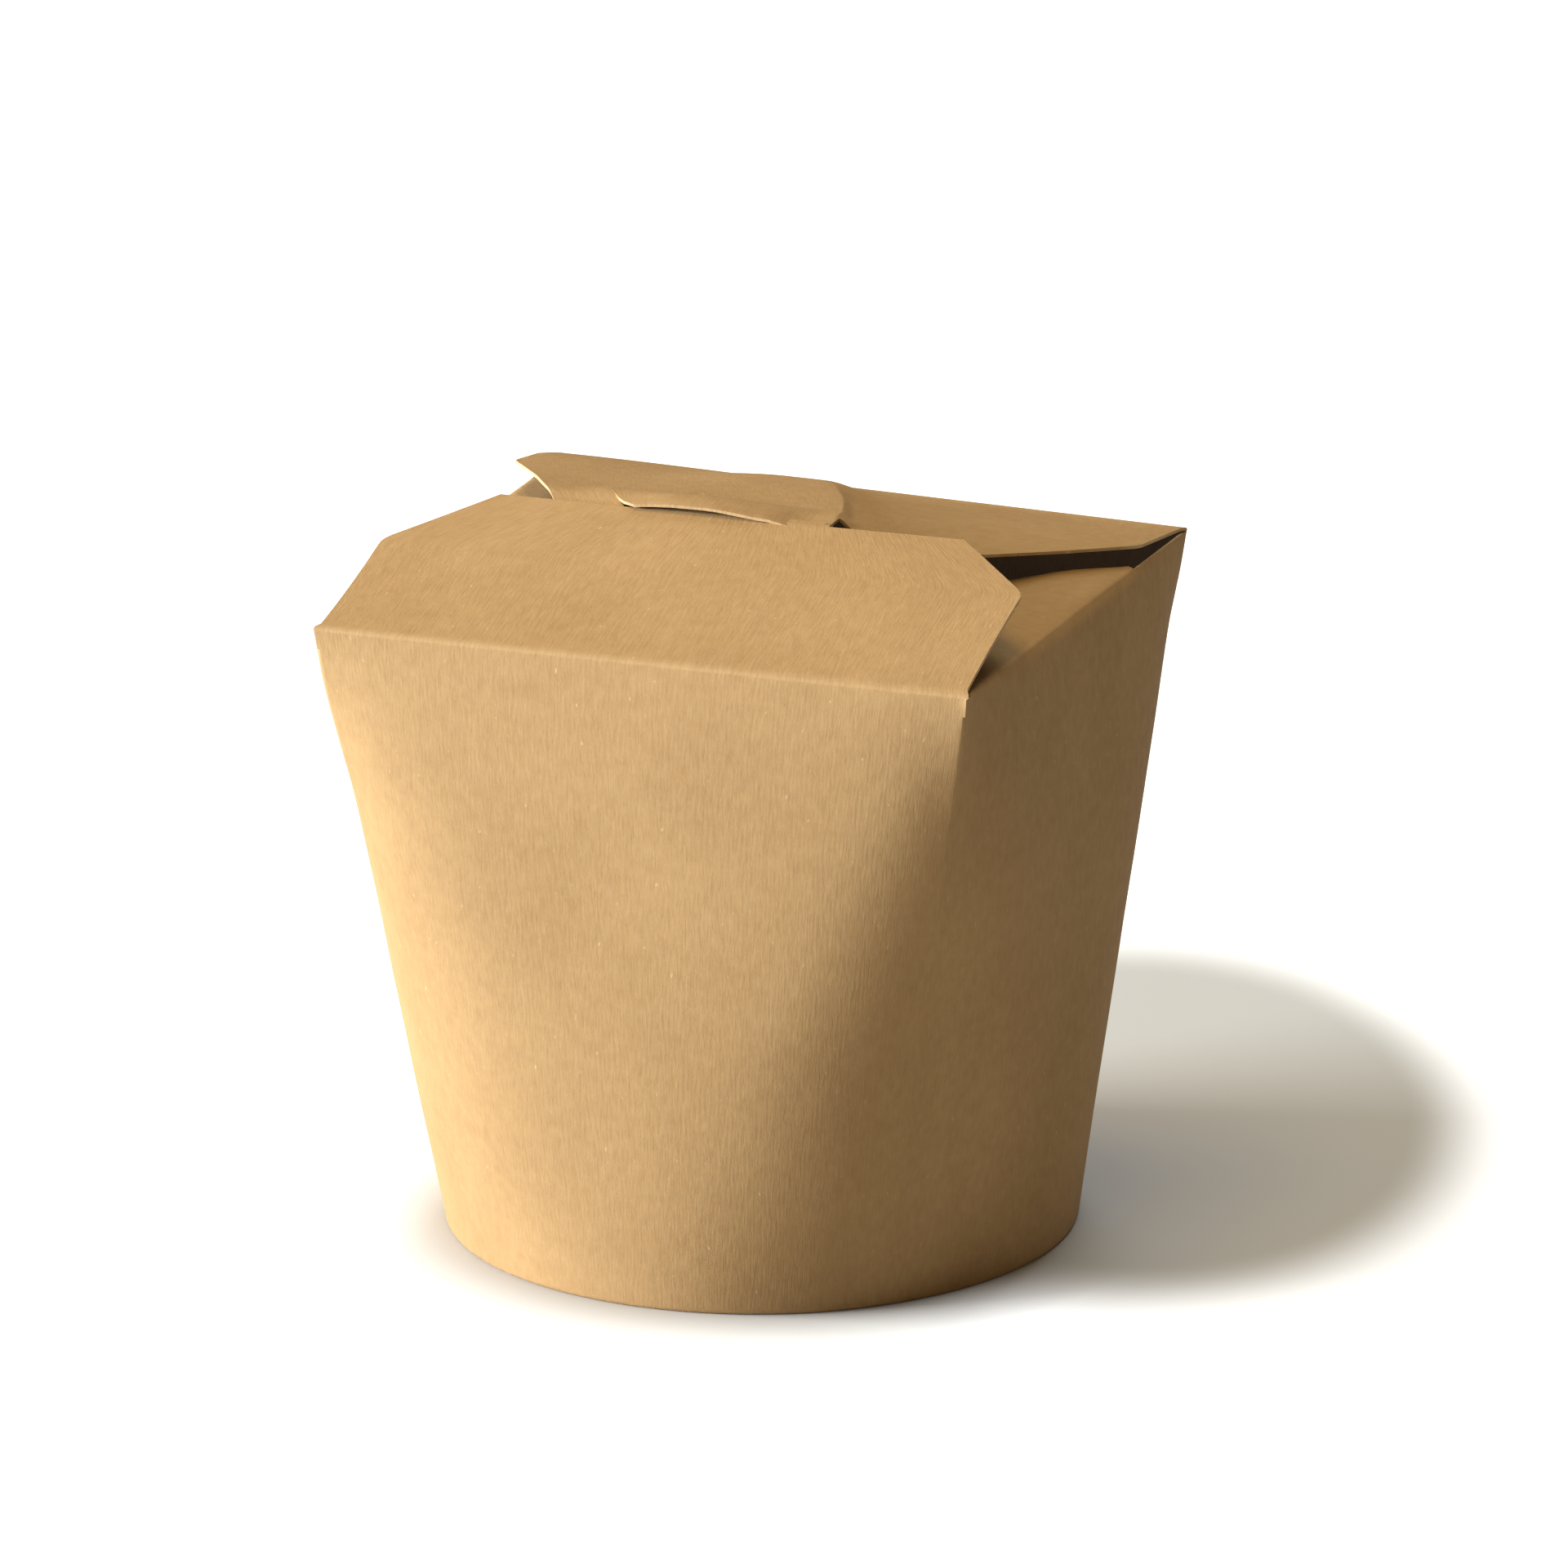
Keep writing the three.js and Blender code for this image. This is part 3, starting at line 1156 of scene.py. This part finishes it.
    def tuck(self, sheet: Sheet, row: Row, shares: Sequence[float], fixed: float) -> None:
        """Carry the part left of the lip on under the front flap's far edge.

        Args:
            sheet: The blank.
            row: That part of the flap's row.
            shares: Each column's place along the fold.
            fixed: The column that follows the raised strip's edge.
        """
        base = [sheet.flat[point] for point in row]
        for along in steps(self.tuck_rows):
            run = mix(self.cut_start, self.tuck_reach, along)
            border = self.across(shares[-1], fixed, run)
            moved = polyline(self.lip_left, run) + self.tuck_overlap - border
            places = []
            for share in shares:
                x = self.across(share, fixed, run)
                x += self.drawn(moved, border - x)
                under = self.front.height(x, 2 * self.pail.half_depth - run) - self.tuck_depth
                place = self.place(x, run)
                place.z = mix(place.z, self.pail.fold_height + under, ease(*self.tuck_run, run))
                places.append(place)
            row = sheet.next_row(row, places, shifted(base, run - self.cut_start))


@dataclass
class SideFlap:
    """A flap folded in under the other two, cut away towards the back corner."""

    pail: Pail
    right: bool
    front_gap: float = 1.5 * MM
    back_gap: float = 21.0 * MM
    taper: float = 14.0 * MM
    reach: float = 30.0 * MM
    sag: float = 0.05
    fold_run: float = 0.8 * MM
    swell: float = 0.9 * MM
    swell_run: float = 9.0 * MM
    # Pale band at the side flap's fold: partly real rubbing wear, partly a painted highlight.
    fold_rub_highlight: float = 0.5
    rows: int = 26
    row_spread: float = 1.35

    def build(self, sheet: Sheet, row: Row) -> None:
        """Grow the flap from the part of its wall's top row that it hangs on.

        Args:
            sheet: The blank.
            row: The wall's top row, from front to back.
        """
        front_end = -self.pail.half_depth + self.front_gap
        back_end = self.pail.half_depth - self.back_gap
        row = [point for point in row if front_end <= point.co.y <= back_end]
        start = [point.co.copy() for point in row]
        flat = [sheet.flat[point] for point in row]
        inward = Vector((-1.0 if self.right else 1.0, 0.0, 0.0))
        low, high = start[0].y, start[-1].y
        for number, along in enumerate(steps(self.rows)):
            run = self.reach * along**self.row_spread
            narrow = min(run, self.taper)
            rise = self.pail.fold_radius * (1.0 - math.exp(-run / self.fold_run))
            rise += self.swell * ease(0.0, self.swell_run, run) - self.sag * run
            places = []
            for place in start:
                share = (place.y - low) / (high - low)
                tapered = mix(front_end + narrow, back_end - narrow, share)
                y = tapered if number > 1 else place.y
                places.append(Vector((place.x, y, place.z + rise)) + inward * run)
            row = sheet.next_row(row, places, shifted(flat, run), 0.0 if number else self.fold_rub_highlight)


class Blank:
    """The whole board: it builds the wall and the four flaps as one sheet."""

    def __init__(self) -> None:
        """Size the wall and the two flaps that shape the lid."""
        self.pail = Pail()
        self.front = FrontFlap(self.pail)
        self.back = BackFlap(self.pail, self.front)

    def build(self, grain: BoardGrain) -> Object:
        """Grow the blank and dress it.

        Args:
            grain: The shared grain group.

        Returns:
            The finished piece.
        """
        sheet = Sheet()
        top = self.pail.build(sheet)
        side = 2 * self.pail.columns
        self.front.build(sheet, top[side : 2 * side + 1])
        self.back.build(sheet, top[: 3 * side - 1 : -1])
        SideFlap(self.pail, right=True).build(sheet, top[2 * side : 3 * side + 1])
        SideFlap(self.pail, right=False, back_gap=12.0 * MM, taper=20.0 * MM).build(sheet, top[side::-1])
        finishes = [finish.build(grain) for finish in (OUTER_BOARD, SHADED_INNER_BOARD, CUT_BOARD)]
        return sheet.finish("board_blank", finishes, self.pail.board)


@dataclass
class BasePanel:
    """The disc that closes the foot, set up inside the rolled rim."""

    radius: float
    low: float
    high: float
    step_in: float = 3.2 * MM
    step_run: float = 0.5 * MM
    step_down: float = 0.35 * MM
    middle: float = 0.4
    segments: int = 128

    def build(self, grain: BoardGrain) -> Object:
        """Make the disc with its pressed border.

        Args:
            grain: The shared grain group.

        Returns:
            The finished piece.
        """
        mesh = bmesh.new()
        bmesh.ops.create_circle(mesh, cap_ends=True, segments=self.segments, radius=self.radius)
        bmesh.ops.translate(mesh, verts=mesh.verts, vec=(0.0, 0.0, self.high - self.step_down))
        face = mesh.faces[:][0]
        border = ((self.step_in, 0.0), (self.step_run, self.step_down), (self.radius * self.middle, 0.0))
        for thickness, depth in border:
            bmesh.ops.inset_region(mesh, faces=[face], thickness=thickness, depth=depth, use_even_offset=True)
        bmesh.ops.poke(mesh, faces=[face])
        bmesh.ops.recalc_face_normals(mesh, faces=mesh.faces)
        mesh.normal_update()
        if sum(face.normal.z for face in mesh.faces) < 0.0:
            bmesh.ops.reverse_faces(mesh, faces=mesh.faces)
        bmesh.ops.solidify(mesh, geom=mesh.faces[:], thickness=self.high - self.low - self.step_down)
        uv = mesh.loops.layers.uv.new("flat")
        for face in mesh.faces:
            for loop in face.loops:
                loop[uv].uv = loop.vert.co.xy
        return add_piece(mesh, "base_panel", [BASE_BOARD.build(grain)])


# The studio


@dataclass
class PhotoCamera:
    """The camera that took the view, fitted to the box's folds, foot and outlines."""

    azimuth: float = math.radians(21.77)
    elevation: float = math.radians(17.69)
    roll: float = math.radians(-0.52)
    distance: float = 1553.0 * MM
    focal_pixels: float = 13252.0
    shift_pixels: tuple[float, float] = (-30.1, 115.5)
    target: Triple = (0.0, 0.0, 50.0 * MM)

    def build(self) -> Object:
        """Make the camera and make it the scene's own.

        Returns:
            The camera.
        """
        level = math.cos(self.elevation)
        back = Vector((math.sin(self.azimuth), -math.cos(self.azimuth), 0.0)) * level
        back.z = math.sin(self.elevation)
        right = (-back).cross(Vector((0.0, 0.0, 1.0))).normalized()
        up = right.cross(-back)
        turned_right = right * math.cos(self.roll) + up * math.sin(self.roll)
        turned_up = up * math.cos(self.roll) - right * math.sin(self.roll)
        data = bpy.data.cameras.new("photo_camera")
        data.sensor_width = SENSOR
        data.lens = self.focal_pixels / PHOTO_SIDE * SENSOR
        data.shift_x = -self.shift_pixels[0] / PHOTO_SIDE
        data.shift_y = self.shift_pixels[1] / PHOTO_SIDE
        data.clip_end = 20.0
        camera = bpy.data.objects.new("photo_camera", data)
        turn = Matrix((turned_right, turned_up, back)).transposed().to_4x4()
        camera.matrix_world = Matrix.Translation(Vector(self.target) + back * self.distance) @ turn
        bpy.context.scene.collection.objects.link(camera)
        bpy.context.scene.camera = camera
        return camera


@dataclass(frozen=True)
class Softbox:
    """A square area light that points at the box."""

    name: str
    azimuth: float
    elevation: float
    power: float
    colour: Triple
    glossy: bool = True
    distance: float = 1.5
    size: float = 0.7
    aim: float = 60.0 * MM

    def build(self) -> Object:
        """Place the light.

        Returns:
            The light.
        """
        angle, rise = math.radians(self.azimuth), math.radians(self.elevation)
        level = math.cos(rise)
        out = Vector((math.sin(angle) * level, -math.cos(angle) * level, math.sin(rise)))
        data = bpy.data.lights.new(self.name, "AREA")
        data.size = self.size
        data.energy = self.power
        data.color = self.colour
        light = bpy.data.objects.new(self.name, data)
        light.location = out * self.distance + Vector((0.0, 0.0, self.aim))
        light.rotation_euler = out.to_track_quat("Z", "Y").to_euler()
        light.visible_glossy = self.glossy
        bpy.context.scene.collection.objects.link(light)
        return light


@dataclass
class Studio:
    """The pale floor, the even surroundings and the lights."""

    floor_half: float = 6.0
    floor_tone: float = 0.62
    # Painted light on the floor: where the camera-only glow is held off around the box's cast shadow, and how
    # bright it is.
    shade_centre: Span = mm(37.0, 58.0)
    shade_turn: float = math.radians(21.77)
    shade_size: Span = mm(45.0, 75.0)
    shade_edge: tuple[float, float] = (0.88, 1.25)
    clear_edge: tuple[float, float] = (2.4, 5.0)
    shade_glow: Triple = (0.01, 0.01, 0.01)
    near_glow: Triple = (0.76, 0.77, 0.78)
    foot_edge: Span = mm(45.0, 60.0)
    far_glow: Triple = (0.95, 0.95, 0.95)
    surround: float = 0.115
    surround_colour: Triple = (1.0, 0.80, 0.48)
    lights: tuple[Softbox, ...] = (
        Softbox("key_light", azimuth=-64.0, elevation=12.0, power=50.0, colour=(0.96, 1.0, 1.0)),
        Softbox("top_light", -60.0, 85.0, power=6.5, colour=(1.0, 0.76, 0.38), glossy=False),
        Softbox("back_light", -175.0, 45.0, power=10.5, colour=(0.82, 0.88, 0.92), glossy=False),
    )

    def build(self) -> None:
        """Lay the floor and light the scene."""
        mesh = bmesh.new()
        bmesh.ops.create_grid(mesh, x_segments=1, y_segments=1, size=self.floor_half)
        floor = add_piece(mesh, "floor", [self.floor_finish()])
        for light in self.lights:
            light.build()
        world = bpy.data.worlds.new("surround")
        world.use_nodes = True
        inputs = {"Color": (*self.surround_colour, 1.0), "Strength": self.surround}
        feed(world.node_tree.nodes["Background"], inputs)
        bpy.context.scene.world = world
        view = bpy.context.scene.view_settings
        view.view_transform = "Standard"
        view.look = "None"

    def floor_finish(self) -> bpy.types.Material:
        """Make the floor's finish.

        Painted light: to the camera only it glows, so that it fades to plain white away from the box, around
        a dark ellipse behind the box where the real cast shadow is left to show; near the foot the glow is
        held off so the contact shadow shows.

        Returns:
            The material.
        """
        tone = (self.floor_tone, self.floor_tone, self.floor_tone, 1.0)
        inputs = {"Base Color": tone, "Roughness": 1.0, "Specular IOR Level": 0.0}
        material, shader = new_material("floor", inputs)
        tree = material.node_tree
        place = tree.nodes.new("ShaderNodeTexCoord").outputs["Object"]
        inputs = {
            "Vector": place,
            "Location": (*self.shade_centre, 0.0),
            "Rotation": (0.0, 0.0, self.shade_turn),
            "Scale": (*self.shade_size, 1.0),
        }
        ellipse = add_node(tree, "ShaderNodeMapping", inputs, vector_type="TEXTURE").outputs["Vector"]
        reach = length(ellipse)
        share = ramp(reach, self.shade_edge, "SMOOTHSTEP")
        near = blend(share, (*self.shade_glow, 1.0), (*self.near_glow, 1.0))
        glow = blend(ramp(reach, self.clear_edge, "SMOOTHSTEP"), near, (*self.far_glow, 1.0))
        seen = tree.nodes.new("ShaderNodeLightPath").outputs["Is Camera Ray"]
        # The glow is held off near the foot, so the real contact shadow shows there.
        strength = times(seen, ramp(length(place), self.foot_edge))
        feed(shader, {"Emission Color": glow, "Emission Strength": strength})
        return material


def main() -> None:
    """Build the camera, the box and the studio."""
    logging.basicConfig(level=logging.INFO, format="%(name)s: %(message)s")
    PhotoCamera().build()
    grain = BoardGrain()
    board = Blank().build(grain)
    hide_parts("carton")
    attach(board, "root")
    LOG.info("%s: %d faces", board.name, len(board.data.polygons))
    low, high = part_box("base_disc")
    panel = BasePanel(radius=high.x, low=low.z, high=high.z).build(grain)
    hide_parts("base_disc")
    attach(panel, "root")
    LOG.info("%s: %d faces", panel.name, len(panel.data.polygons))
    Studio().build()


if __name__ == "__main__":
    main()
